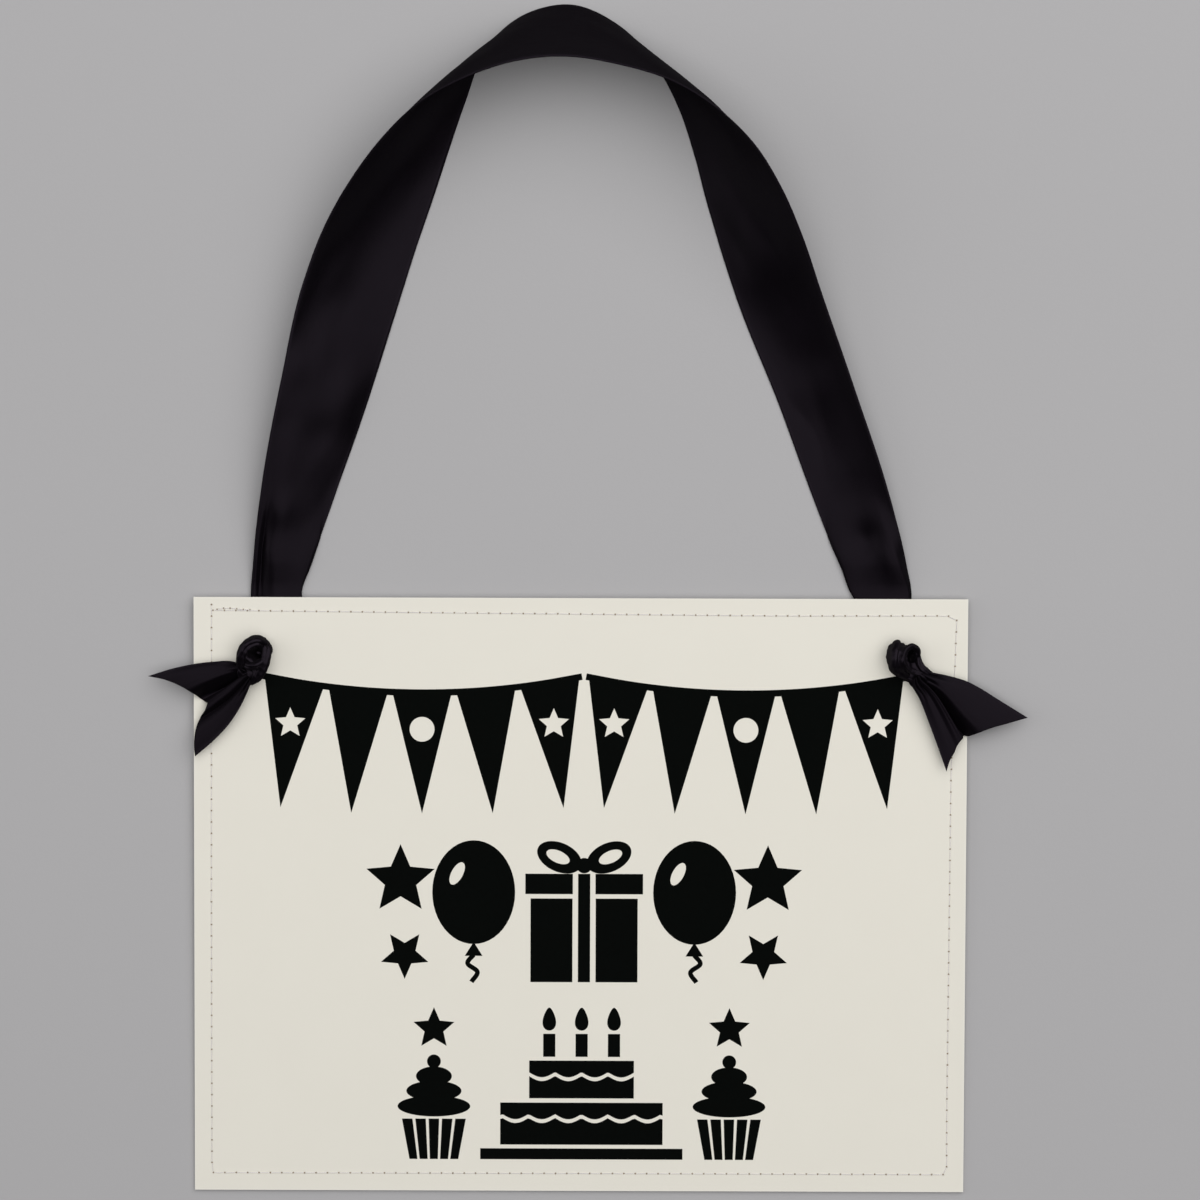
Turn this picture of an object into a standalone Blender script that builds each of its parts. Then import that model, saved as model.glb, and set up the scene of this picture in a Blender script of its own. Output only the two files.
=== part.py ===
# Party sign: two cards stitched together, hung on one wide ribbon that is knotted at the front.
# Blender 4.5, metres. The sign lies on its back: +X to the reader's right, +Y to the sign's top,
# +Z out of the printed face. The origin is the centre of the sign's back face.
import math

import bmesh
import bpy
import numpy as np
from mathutils import Matrix, Vector

MM = 0.001
INCH = 0.0254

# Cards
BOARD_WIDTH = 11.0 * INCH
BOARD_HEIGHT = 8.5 * INCH
CARD_THICKNESS = 0.45 * MM
SHEET_GAP = 0.05 * MM  # between flat faces that touch on the real sign
HOLE_DIAMETER = 6.4 * MM
HOLE_SIDE_INSET = 25.4 * MM
HOLE_TOP_INSET = 19.0 * MM
HOLE_FACETS = 24

# Printed field: the flat part of each card that nothing lies over
FIELD_SIDE_MARGIN = 28.0 * MM
FIELD_TOP_MARGIN = 30.0 * MM
FIELD_BOTTOM_MARGIN = 8.0 * MM
BORDER_PRESS = 0.04 * MM  # the stitches press each card this much thinner at its edges

# Seam: one thread on each face, along a line inside each edge
THREAD_HEIGHT = 0.3 * MM
THREAD_WIDTH = 0.5 * MM
SEAM_TOP_INSET = 5.6 * MM
SEAM_SIDE_INSET = 5.8 * MM
SEAM_BOTTOM_INSET = 5.9 * MM

# Ribbon
RIBBON_WIDTH = 1.5 * INCH
RIBBON_THICKNESS = 0.5 * MM
TURN_GAP = 0.3 * MM  # between pieces that turn on each other or curve past each other

# Back runs: the pleated ribbon between the sign's back and what it lies on
RUN_HOLE_WIDTH = 7.5 * MM
RUN_HOLE_THICKNESS = 1.8 * MM
RUN_FOLD_WIDTH = 18.0 * MM
RUN_FOLD_THICKNESS = 1.0 * MM
RUN_DRIFT = 4.0 * MM  # each run moves this far inwards on its way from the hole to the fold

# Hanger loop
FOLD_OFFSET = 2.2 * MM  # from the sign's top edge to the fold line
LOOP_RISE = 210.7 * MM  # from the fold line to the loop's far edge
CREST_LIFT = 31.0 * MM  # the ribbon's raised edge at the crest, over the surface it lies on
SPREAD_LENGTH = 25.0 * MM  # past the fold, where the pleated ribbon thins to one layer
ARCH_SHARE = 3 / 8  # a low arch's height squared, over its chord times its spare length

# The loop as it was drawn: for each station, the outer edge's x and y, its lift, the inner
# edge's x and y, and how far the ribbon arches between them, up (1) or down (-1). The y are
# from the fold line and the inner edge lies on the surface.
DRAWN_LEG = 110.3
DRAWN_RISE = 210.7
DRAWN_LIFT = 31.0
LOOP_STATIONS = [
    (-118.3, 9.0, 1.3, -97.8, 8.5, 0.0),
    (-117.3, 20.3, 3.2, -94.4, 18.7, 0.3),
    (-114.8, 37.8, 6.0, -88.8, 34.5, 0.7),
    (-107.5, 74.7, 10.0, -76.9, 69.3, 1.0),
    (-98.5, 111.6, 15.0, -65.3, 105.4, 0.7),
    (-91.8, 128.9, 18.5, -59.8, 122.7, 0.0),
    (-82.0, 146.0, 22.0, -53.4, 141.5, -0.6),
    (-70.8, 160.5, 25.5, -48.0, 158.8, -1.0),
    (-57.6, 172.9, 28.0, -42.3, 176.0, -1.0),
    (-40.8, 181.9, 30.0, -35.3, 194.2, -1.0),
    (-23.6, 187.5, 31.0, -22.5, 206.4, -1.0),
    (-4.4, 189.4, 31.0, -3.9, 210.7, -1.0),
    (13.4, 186.9, 31.0, 12.1, 203.9, -1.0),
    (31.1, 181.5, 30.5, 25.1, 191.3, -1.0),
    (47.5, 171.8, 29.5, 34.7, 174.3, -1.0),
    (60.4, 159.6, 28.0, 40.7, 157.1, -1.0),
    (70.2, 144.5, 26.5, 45.3, 139.4, -0.6),
    (78.4, 126.6, 24.0, 50.7, 121.2, 0.0),
    (84.7, 109.3, 21.0, 56.6, 103.3, 0.4),
    (97.9, 73.0, 14.0, 70.8, 68.3, 1.0),
    (110.1, 37.5, 8.0, 83.9, 34.0, 0.7),
    (114.9, 20.6, 4.4, 90.4, 18.8, 0.3),
    (117.4, 9.0, 1.3, 95.4, 8.5, 0.0),
]

# Knots: the ribbon comes up through its hole, wraps once around itself and leaves as a tail
NECK_GAP = 0.35 * MM
KNOT_LENGTH = 17.0 * MM
KNOT_WIDTH = 13.0 * MM
KNOT_HEIGHT = 11.0 * MM
KNOT_OVERHANG = 3.5 * MM  # of the knot behind its hole, away from the tail
WRAP_BAND = 2.0 * MM  # radius of the wrapped strand
CORE_SHRINK = 0.7 * MM  # the knot's core below the wrapped strand
KNOT_DEGREES = {"left": 231.0, "right": 310.0}
KNOT_REACH = {"left": 11.8 * MM, "right": 13.8 * MM}  # from the hole to the tail's root

# Tails
TAIL_DEGREES = {"left": 210.4, "right": 313.0}
TAIL_LENGTH = {"left": 29.8 * MM, "right": 33.3 * MM}
TAIL_NOTCH = {"left": 13.6 * MM, "right": 6.6 * MM}
TAIL_SPREAD = {"left": 32.8 * MM, "right": 34.1 * MM}
TAIL_ROOT_WIDTH = 9.0 * MM
TAIL_ROOT_THICKNESS = 1.6 * MM
TAIL_ROOT_HEIGHT = 3.6 * MM  # above the printed face
TAIL_TIP_HEIGHT = 1.6 * MM
TAIL_LOBE = 1.5 * MM  # how far each half of a tail arches up beside the crease
TAIL_DROP_POWER = 0.7  # under 1, a tail drops sooner near its knot

# Levels that follow
faceLevel = 2 * CARD_THICKNESS + SHEET_GAP
runTop = -(2 * SHEET_GAP + THREAD_HEIGHT)
runBottom = runTop - RUN_HOLE_THICKNESS
holeX = BOARD_WIDTH / 2 - HOLE_SIDE_INSET
holeY = BOARD_HEIGHT / 2 - HOLE_TOP_INSET
legX = holeX - RUN_DRIFT
foldY = BOARD_HEIGHT / 2 + FOLD_OFFSET
foldZ = runTop - RUN_FOLD_THICKNESS / 2
beadGap = RUN_FOLD_THICKNESS + TURN_GAP
seamLowY = SEAM_BOTTOM_INSET - BOARD_HEIGHT / 2
threadBottom = -(SHEET_GAP + THREAD_HEIGHT)
SIDES = {"left": -1, "right": 1}


def restLevel(y):
    # Plane the sign rests on: through the back thread's low row and the runs under the holes
    slope = (runBottom - threadBottom) / (holeY - seamLowY)
    return threadBottom + slope * (y - seamLowY)


def clearScene():
    for item in list(bpy.data.objects):
        bpy.data.objects.remove(item, do_unlink=True)


def makeMaterial(name, color, roughness, sheen=0.0):
    material = bpy.data.materials.new(name)
    material.use_nodes = True
    shader = material.node_tree.nodes["Principled BSDF"]
    shader.inputs["Base Color"].default_value = (*color, 1.0)
    shader.inputs["Roughness"].default_value = roughness
    shader.inputs["Metallic"].default_value = 0.0
    shader.inputs["Sheen Weight"].default_value = sheen
    return material


def addObject(name, mesh, material, origin=(0.0, 0.0, 0.0)):
    # The mesh is given in sign coordinates and stored from its object's origin
    mesh.transform(Matrix.Translation(-Vector(origin)))
    mesh.materials.append(material)
    item = bpy.data.objects.new(name, mesh)
    item.location = origin
    bpy.context.scene.collection.objects.link(item)
    return item


def finishBmesh(name, bm):
    bm.normal_update()
    bmesh.ops.recalc_face_normals(bm, faces=bm.faces)
    mesh = bpy.data.meshes.new(name)
    bm.to_mesh(mesh)
    bm.free()
    return mesh


def addPlate(name, outline, holes, low, high, material, field=None, press=None):
    # Flat plate: an outline and its holes, filled at one level and extruded to the other. A
    # field inside the outline is a face of its own, and press moves the outline's own corners
    # at one level, (level, move), so that the border slopes away from the field.
    bm = bmesh.new()
    for ring in [outline, *holes, field or []]:
        corners = [bm.verts.new((x, y, low)) for x, y in ring]
        for start, end in zip(corners, corners[1:] + corners[:1]):
            bm.edges.new((start, end))
    filled = bmesh.ops.triangle_fill(bm, use_beauty=True, edges=bm.edges[:])
    faces = [part for part in filled["geom"] if isinstance(part, bmesh.types.BMFace)]
    if field:
        faces.append(bm.faces.new(corners))
    grown = bmesh.ops.extrude_face_region(bm, geom=faces, use_keep_orig=True)
    raised = [part for part in grown["geom"] if isinstance(part, bmesh.types.BMVert)]
    bmesh.ops.translate(bm, verts=raised, vec=(0.0, 0.0, high - low))
    if press:
        level, move = press
        edges = {tuple(Vector(corner)) for corner in outline}
        for vertex in bm.verts:
            if tuple(vertex.co.xy) in edges and abs(vertex.co.z - level) < SHEET_GAP:
                vertex.co.z += move
    return addObject(name, finishBmesh(name, bm), material)


def rectangle(left, right, bottom, top):
    return [(left, bottom), (right, bottom), (right, top), (left, top)]


def circle(x, y, radius, count):
    turns = [2 * math.pi * i / count for i in range(count)]
    return [(x + radius * math.cos(turn), y + radius * math.sin(turn)) for turn in turns]


def sheetMesh(name, middle, half):
    # Closed sheet around a grid of middle points: each point is moved out by half the
    # thickness along the grid's normal, once up and once down, and the rims are joined
    along = np.gradient(middle, axis=0)
    across = np.gradient(middle, axis=1)
    normal = np.cross(across, along)
    normal /= np.linalg.norm(normal, axis=2, keepdims=True)
    rows, columns = half.shape
    upper = middle + normal * half[..., None]
    lower = middle - normal * half[..., None]
    bm = bmesh.new()
    top = [[bm.verts.new(point) for point in row] for row in upper]
    bottom = [[bm.verts.new(point) for point in row] for row in lower]
    for i in range(rows - 1):
        for j in range(columns - 1):
            bm.faces.new((top[i][j], top[i][j + 1], top[i + 1][j + 1], top[i + 1][j]))
            bm.faces.new((bottom[i][j], bottom[i + 1][j], bottom[i + 1][j + 1], bottom[i][j + 1]))
    rim = [(0, j) for j in range(columns)]
    rim += [(i, columns - 1) for i in range(1, rows)]
    rim += [(rows - 1, j) for j in range(columns - 2, -1, -1)]
    rim += [(i, 0) for i in range(rows - 2, 0, -1)]
    for (i, j), (k, m) in zip(rim, rim[1:] + rim[:1]):
        bm.faces.new((top[i][j], bottom[i][j], bottom[k][m], top[k][m]))
    bmesh.ops.triangulate(bm, faces=bm.faces[:])
    return finishBmesh(name, bm)


def smoothPath(stations, steps):
    # Curve through every station: on each span, the cubic with Catmull and Rom's end slopes
    points = np.array(stations)
    slopes = np.gradient(points, axis=0)
    rows = []
    for i in range(len(points) - 1):
        for t in np.arange(steps) / steps:
            rise = t * t * (3 - 2 * t)
            rows.append(points[i] * (1 - rise) + points[i + 1] * rise
                        + slopes[i] * t * (1 - t) ** 2 - slopes[i + 1] * t * t * (1 - t))
    rows.append(points[-1])
    return np.array(rows)


def beadSteps(radius, count=4):
    # A round end in side view: how far out each step lies and how thick the sheet is there
    turns = np.linspace(0.0, 0.94, count) * math.pi / 2
    return radius * np.sin(turns), radius * np.cos(turns)


def addCards(material):
    outline = rectangle(-BOARD_WIDTH / 2, BOARD_WIDTH / 2, -BOARD_HEIGHT / 2, BOARD_HEIGHT / 2)
    holes = [circle(side * holeX, holeY, HOLE_DIAMETER / 2, HOLE_FACETS) for side in SIDES.values()]
    side = BOARD_WIDTH / 2 - FIELD_SIDE_MARGIN
    field = rectangle(-side, side, FIELD_BOTTOM_MARGIN - BOARD_HEIGHT / 2,
                      BOARD_HEIGHT / 2 - FIELD_TOP_MARGIN)
    addPlate("back_card", outline, holes, 0.0, CARD_THICKNESS, material, field,
             (0.0, BORDER_PRESS))
    addPlate("front_card", outline, holes, CARD_THICKNESS + SHEET_GAP, faceLevel, material, field,
             (faceLevel, -BORDER_PRESS))


def addThread(name, low, material):
    # A closed run of thread along all four edges
    def seam(offset):
        side = BOARD_WIDTH / 2 - SEAM_SIDE_INSET + offset
        top = BOARD_HEIGHT / 2 - SEAM_TOP_INSET + offset
        return rectangle(-side, side, seamLowY - offset, top)

    half = THREAD_WIDTH / 2
    addPlate(name, seam(half), [seam(-half)], low, low + THREAD_HEIGHT, material)


def addRun(side, material):
    # Pleated ribbon flat against the back thread, wider and thinner towards the fold
    name = f"{side}_back_run"
    sign = SIDES[side]
    start = holeY - RUN_HOLE_WIDTH / 2
    end = foldY - beadGap
    steps = np.linspace(0.0, 1.0, 7)
    out, thick = beadSteps(RUN_FOLD_THICKNESS / 2)
    y = np.concatenate([start + (end - start) * steps, end + out[1:]])
    share = np.clip((y - holeY) / (end - holeY), 0.0, 1.0)
    half = (RUN_HOLE_THICKNESS + (RUN_FOLD_THICKNESS - RUN_HOLE_THICKNESS) * share) / 2
    z = runTop - half
    half[-len(thick):] = thick
    width = RUN_HOLE_WIDTH + (RUN_FOLD_WIDTH - RUN_HOLE_WIDTH) * share
    x = sign * (holeX + (legX - holeX) * share)
    across = np.linspace(-0.5, 0.5, 4)
    middle = np.stack(np.broadcast_arrays(x[:, None] + width[:, None] * across,
                                          y[:, None], z[:, None]), axis=2)
    mesh = sheetMesh(name, middle, np.repeat(half[:, None], len(across), axis=1))
    return addObject(name, mesh, material)


def addLoop(material):
    # The ribbon from fold to fold. Its two edges are smooth paths, and each row across is a
    # straight line between them plus a parabola whose height takes up the spare width.
    plan = legX / (DRAWN_LEG * MM)
    rise = LOOP_RISE / (DRAWN_RISE * MM)
    lift = CREST_LIFT / (DRAWN_LIFT * MM)
    half = RUN_FOLD_WIDTH / 2
    thin = RIBBON_THICKNESS / 2
    rows = [(-legX - half, foldY, foldZ, half - legX, foldY, foldZ, 0.0)]
    for outX, outY, up, inX, inY, arch in LOOP_STATIONS:
        outer = np.array([outX * plan, outY * rise]) * MM
        inner = np.array([inX * plan, inY * rise]) * MM
        outZ = restLevel(foldY + outer[1]) + thin + up * lift * MM
        inZ = restLevel(foldY + inner[1]) + thin
        rows.append((outer[0], foldY + outer[1], outZ, inner[0], foldY + inner[1], inZ, arch))
    rows.append((legX + half, foldY, foldZ, legX - half, foldY, foldZ, 0.0))
    path = smoothPath(rows, 3)
    thickness = thin + (RUN_FOLD_THICKNESS / 2 - thin) * np.clip(
        1 - (path[:, 1] - foldY) / SPREAD_LENGTH, 0.0, 1.0)
    out, thick = beadSteps(RUN_FOLD_THICKNESS / 2)
    head = np.repeat(path[:1], len(out) - 1, axis=0)
    tail = np.repeat(path[-1:], len(out) - 1, axis=0)
    for column in (1, 4):
        head[:, column] -= out[:0:-1]
        tail[:, column] -= out[1:]
    path = np.concatenate([head, path, tail])
    thickness = np.concatenate([thick[:0:-1], thickness, thick[1:]])
    outer = path[:, 0:3]
    inner = path[:, 3:6]
    chord = np.linalg.norm(outer - inner, axis=1)
    spare = np.maximum(RIBBON_WIDTH - chord, 0.0)
    height = path[:, 6] * np.sqrt(ARCH_SHARE * chord * spare)
    normal = np.cross(np.gradient((outer + inner) / 2, axis=0), outer - inner)
    normal /= np.linalg.norm(normal, axis=1, keepdims=True)
    u = np.linspace(-1.0, 1.0, 9)[None, :, None]
    middle = (inner[:, None] * (1 + u) + outer[:, None] * (1 - u)) / 2
    middle = middle + (normal * height[:, None])[:, None] * (1 - u * u)
    mesh = sheetMesh("hanger_loop", middle, np.repeat(thickness[:, None], 9, axis=1))
    return addObject("hanger_loop", mesh, material, (0.0, foldY, foldZ))


def heading(azimuth):
    turn = math.radians(azimuth)
    return Vector((math.cos(turn), math.sin(turn), 0.0))


def tailRoot(side):
    hole = Vector((SIDES[side] * holeX, holeY, faceLevel + TAIL_ROOT_HEIGHT))
    return hole + heading(KNOT_DEGREES[side]) * KNOT_REACH[side]


def addGuide(name, bm, placing):
    # A solid that only shapes the knot
    bm.transform(placing)
    guide = bpy.data.objects.new(name, finishBmesh(name, bm))
    guide.hide_render = True
    guide.display_type = "WIRE"
    bpy.context.scene.collection.objects.link(guide)
    return guide


def join(item, guide, operation):
    modifier = item.modifiers.new(guide.name, "BOOLEAN")
    modifier.operation = operation
    modifier.object = guide


def addKnot(side, material):
    name = f"{side}_knot"
    hole = Vector((SIDES[side] * holeX, holeY, 0.0))
    bottom = faceLevel + TURN_GAP
    level = bottom + KNOT_HEIGHT / 2
    along = heading(KNOT_DEGREES[side])
    centre = hole + along * (KNOT_LENGTH / 2 - KNOT_OVERHANG) + Vector((0.0, 0.0, level))
    turn = Matrix.Translation(centre) @ Matrix.Rotation(math.radians(KNOT_DEGREES[side]), 4, "Z")

    core = bmesh.new()
    bmesh.ops.create_uvsphere(core, u_segments=20, v_segments=12, radius=1.0)
    size = (KNOT_LENGTH / 2, KNOT_WIDTH / 2 - CORE_SHRINK, KNOT_HEIGHT / 2 - CORE_SHRINK)
    core.transform(turn @ Matrix.Diagonal((*size, 1.0)))
    item = addObject(name, finishBmesh(name, core), material)

    wrap = bmesh.new()
    wide = KNOT_WIDTH / 2 - WRAP_BAND
    high = KNOT_HEIGHT / 2 - WRAP_BAND
    ring = []
    for i in range(24):
        angle = 2 * math.pi * i / 24
        outward = Vector((0.0, math.cos(angle), math.sin(angle)))
        seat = Vector((0.0, wide * outward.y, high * outward.z))
        spots = [2 * math.pi * j / 8 for j in range(8)]
        ring.append([wrap.verts.new(seat + WRAP_BAND * (outward * math.cos(spot)
                                                        + Vector((math.sin(spot), 0.0, 0.0))))
                     for spot in spots])
    for here, ahead in zip(ring, ring[1:] + ring[:1]):
        for j in range(8):
            wrap.faces.new((here[j], here[j - 1], ahead[j - 1], ahead[j]))
    join(item, addGuide(f"{side}_wrap", wrap, turn), "UNION")

    neck = bmesh.new()
    neckBottom = runTop + TURN_GAP
    bmesh.ops.create_cone(neck, cap_ends=True, segments=20, radius1=HOLE_DIAMETER / 2 - NECK_GAP,
                          radius2=HOLE_DIAMETER / 2 - NECK_GAP, depth=level - neckBottom)
    middle = hole + Vector((0.0, 0.0, (level + neckBottom) / 2))
    join(item, addGuide(f"{side}_neck", neck, Matrix.Translation(middle)), "UNION")

    # The knot ends in a flat mouth that faces the tail
    mouth = bmesh.new()
    bmesh.ops.create_cube(mouth, size=2 * KNOT_LENGTH)
    reach = KNOT_LENGTH - TAIL_ROOT_THICKNESS / 2 - TURN_GAP
    placing = Matrix.Translation(tailRoot(side) + heading(TAIL_DEGREES[side]) * reach)
    placing = placing @ Matrix.Rotation(math.radians(TAIL_DEGREES[side]), 4, "Z")
    join(item, addGuide(f"{side}_mouth", mouth, placing), "DIFFERENCE")
    return item


def addTail(side, material):
    # Flat fan with a V cut. Its root is a round bead on the hinge line, each row across is
    # shortened towards the middle by the notch, and both halves arch up beside the crease.
    name = f"{side}_tail"
    root = tailRoot(side)
    ahead = heading(TAIL_DEGREES[side])
    aside = Vector((0.0, 0.0, 1.0)).cross(ahead)
    out, thick = beadSteps(TAIL_ROOT_THICKNESS / 2)
    u = np.linspace(-1.0, 1.0, 9)[None, :]
    v = np.linspace(0.0, 1.0, 9)[:, None]
    reach = v * (TAIL_LENGTH[side] - TAIL_NOTCH[side] * (1 - np.abs(u)))
    reach = np.concatenate([np.repeat(-out[:0:-1, None], 9, axis=1), reach])
    share = np.clip(reach / TAIL_LENGTH[side], 0.0, 1.0)
    wide = (TAIL_ROOT_WIDTH + (TAIL_SPREAD[side] - TAIL_ROOT_WIDTH) * share) / 2
    z = ((TAIL_TIP_HEIGHT - TAIL_ROOT_HEIGHT) * share ** TAIL_DROP_POWER
         + TAIL_LOBE * share * np.sin(np.pi * np.abs(u)))
    middle = (np.array(root) + reach[..., None] * np.array(ahead)
              + (wide * u)[..., None] * np.array(aside) + z[..., None] * np.array((0.0, 0.0, 1.0)))
    end = RIBBON_THICKNESS / 2
    body = end + (TAIL_ROOT_THICKNESS / 2 - end) * np.clip(1 - 5 * v[:, 0], 0.0, 1.0)
    half = np.repeat(np.concatenate([thick[:0:-1], body])[:, None], 9, axis=1)
    return addObject(name, sheetMesh(name, middle, half), material, root)


clearScene()
card = makeMaterial("card_stock", (0.76, 0.74, 0.67), 0.85)
thread = makeMaterial("thread", (0.72, 0.68, 0.66), 0.7)
satin = makeMaterial("satin_ribbon", (0.012, 0.009, 0.013), 0.35, sheen=0.3)
addCards(card)
addThread("needle_thread", faceLevel + SHEET_GAP, thread)
addThread("bobbin_thread", threadBottom, thread)
addLoop(satin)
for side in SIDES:
    addRun(side, satin)
    addKnot(side, satin)
    addTail(side, satin)
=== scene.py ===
# Party sign: two stitched ivory cards hung from one black satin ribbon, lying on a grey table.
import math
import bpy
import numpy as np
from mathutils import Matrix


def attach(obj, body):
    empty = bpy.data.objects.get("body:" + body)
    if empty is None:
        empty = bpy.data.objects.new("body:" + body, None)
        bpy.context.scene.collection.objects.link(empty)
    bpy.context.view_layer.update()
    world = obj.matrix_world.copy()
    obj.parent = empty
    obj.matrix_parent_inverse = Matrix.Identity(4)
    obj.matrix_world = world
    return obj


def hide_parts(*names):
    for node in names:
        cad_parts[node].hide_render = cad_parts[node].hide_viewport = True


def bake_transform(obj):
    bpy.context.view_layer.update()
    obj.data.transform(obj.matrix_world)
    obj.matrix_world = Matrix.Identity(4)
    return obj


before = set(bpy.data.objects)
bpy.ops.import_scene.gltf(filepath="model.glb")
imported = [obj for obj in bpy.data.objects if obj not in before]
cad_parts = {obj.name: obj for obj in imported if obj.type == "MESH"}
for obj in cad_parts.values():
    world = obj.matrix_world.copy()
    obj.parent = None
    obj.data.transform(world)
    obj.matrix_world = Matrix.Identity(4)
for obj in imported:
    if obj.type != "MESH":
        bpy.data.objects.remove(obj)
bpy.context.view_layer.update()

mm = 0.001  # the tables below are in millimetres
scene = bpy.context.scene
scene.view_settings.view_transform = "Standard"
board = {"halfWide": 139.7, "halfHigh": 107.95, "face": 0.95, "holeX": 114.3, "holeY": 88.95, "foldY": 110.15}


def tableLevel(y):
    return -0.35 - 0.00969 * (y + 102.05)  # the plane that the sign rests on, straight in y


# Curves and meshes

def smoothRows(rows, places, wanted):
    # Rows joined by cubics: each row's slope is that of the parabola through it and its two neighbours
    rows = np.asarray(rows, float)
    places = np.asarray(places, float)
    gaps = np.diff(places)[:, None]
    slopes = np.diff(rows, axis=0) / gaps
    inner = (slopes[:-1] * gaps[1:] + slopes[1:] * gaps[:-1]) / (gaps[:-1] + gaps[1:])
    tangents = np.vstack([slopes[:1], inner, slopes[-1:]])
    at = np.clip(np.searchsorted(places, wanted, side="right") - 1, 0, len(places) - 2)
    span = gaps[at]
    t = (np.asarray(wanted) - places[at])[:, None] / span
    start = (1 + 2 * t) * (1 - t) ** 2 * rows[at] + t * (1 - t) ** 2 * span * tangents[at]
    end = t * t * (3 - 2 * t) * rows[at + 1] + t * t * (t - 1) * span * tangents[at + 1]
    return start + end


def alongLengths(points):
    # Distance travelled along a row of points, starting at 0
    steps = np.linalg.norm(np.diff(points, axis=0), axis=1)
    return np.concatenate([[0.0], np.cumsum(steps)])


def smoothCurve(points, count):
    # The same cubics, read off at count places that are evenly spread along the points
    points = np.asarray(points, float)
    places = alongLengths(points)
    return smoothRows(points, places, np.linspace(0, places[-1], count))


def unit(vectors):
    # Each vector divided by its own length
    return vectors / np.maximum(np.linalg.norm(vectors, axis=-1, keepdims=True), 1e-12)


def ringFaces(rows, around):
    # Quads between each ring and the next, closed round every ring
    i, j = np.meshgrid(np.arange(rows - 1), np.arange(around), indexing="ij")
    k = (j + 1) % around
    return np.stack([i * around + j, i * around + k, (i + 1) * around + k, (i + 1) * around + j], -1).reshape(-1, 4)


def meshPiece(name, points, faces, material, uv=None, smooth=True):
    # An object from points in millimetres and each face's corners. uv is one pair for each point, the
    # distance across and along the cloth in millimetres
    mesh = bpy.data.meshes.new(name)
    mesh.from_pydata((points.reshape(-1, 3) * mm).tolist(), [], [list(map(int, face)) for face in faces])
    if uv is not None:
        corners = np.empty(len(mesh.loops), int)
        mesh.loops.foreach_get("vertex_index", corners)
        layer = mesh.uv_layers.new(name="clothLength")
        layer.data.foreach_set("uv", (uv.reshape(-1, 2) * mm)[corners].ravel())
    if smooth:
        mesh.shade_smooth()
    mesh.materials.append(material)
    mesh.validate()
    piece = bpy.data.objects.new(name, mesh)
    scene.collection.objects.link(piece)
    return piece


def clothPiece(name, grid, uv, material, thick=0.28, selvage=0.1):
    # A sheet from a grid of middle points: each point goes half the thickness up and down the sheet's own
    # normal, a little more along the two woven edges, and the rim is closed
    rows, across = grid.shape[:2]
    normal = unit(np.cross(np.gradient(grid, axis=1), np.gradient(grid, axis=0)))
    u = np.linspace(-1, 1, across)
    half = (thick / 2 + selvage * np.exp(-((1 - np.abs(u)) / 0.05) ** 2))[None, :, None]
    rings = np.concatenate([grid + normal * half, (grid - normal * half)[:, ::-1]], axis=1)
    j = np.arange(across - 1)
    around = 2 * across
    cap = np.stack([j, around - 1 - j, around - 2 - j, j + 1], -1)
    faces = [*ringFaces(rows, around), *cap, *(cap[:, ::-1] + (rows - 1) * around)]
    return meshPiece(name, rings, faces, material, np.concatenate([uv, uv[:, ::-1]], axis=1))


# Shader nodes

def addNode(tree, kind, inputs=None, **settings):
    # One node: sockets of other nodes are linked to it, plain values are set on it
    item = tree.nodes.new(kind)
    for key, value in settings.items():
        setattr(item, key, value)
    for key, value in (inputs or {}).items():
        if isinstance(value, bpy.types.NodeSocket):
            tree.links.new(value, item.inputs[key])
        else:
            item.inputs[key].default_value = value
    return item


def calc(tree, operation, first, second=0.0, third=0.0):
    # One Math node on sockets or plain numbers
    return addNode(tree, "ShaderNodeMath", {0: first, 1: second, 2: third}, operation=operation).outputs[0]


def blendColors(tree, share, first, second):
    # The first color turns into the second as share goes from 0 to 1; each is a socket or three numbers
    ends = [(*color, 1) if isinstance(color, tuple) else color for color in (first, second)]
    return addNode(tree, "ShaderNodeMix", {0: share, 6: ends[0], 7: ends[1]}, data_type="RGBA").outputs[2]


def startMaterial(name, roughness, specular, **more):
    # A Principled material; the other inputs set on it are written with _ for each space in their names
    material = bpy.data.materials.new(name)
    material.use_nodes = True
    tree = material.node_tree
    shader = tree.nodes["Principled BSDF"]
    shader.inputs["Roughness"].default_value = roughness
    shader.inputs["Specular IOR Level"].default_value = specular
    for key, value in more.items():
        shader.inputs[key.replace("_", " ")].default_value = value
    return material, tree, shader


def objectPlace(tree):
    # The shaded point's place in metres, in the piece's own frame
    return addNode(tree, "ShaderNodeTexCoord").outputs["Object"]


def noise(tree, place, scale, detail=2.0, roughness=0.5):
    # Soft noise from 0 to 1, with scale waves in a unit of place
    inputs = {"Vector": place, "Scale": scale, "Detail": detail, "Roughness": roughness}
    return addNode(tree, "ShaderNodeTexNoise", inputs).outputs[0]


def bump(tree, shader, height, strength, distance):
    # Tilts the shader's normal with the slope of height, as if height 1 stood distance metres off the surface
    item = addNode(tree, "ShaderNodeBump", {"Height": height, "Strength": strength, "Distance": distance})
    tree.links.new(item.outputs[0], shader.inputs["Normal"])


print("camera, lamps and table")
view = {"place": (6.64, 180.4, 1342.94), "turn": (-3.117, 0.0, 0.19), "lens": 111.81, "sensor": 36.0}
lampAim = np.array([0.0, 80.0, 0.0])  # the lamps point at the sign's upper half
lamps = {
    "overhead": {"place": (290, 510, 1300), "size": 2.7, "power": 35.4},
    "side": {"place": (620, 800, 900), "size": 0.9, "power": 1.0},
    "window": {"place": (-1500, 250, 750), "size": 1.2, "power": 6.0},
}
tabletop = {"color": (0.425, 0.4185, 0.425), "cloudiness": 0.015, "half": 2600.0, "worldStrength": 0.08}

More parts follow.
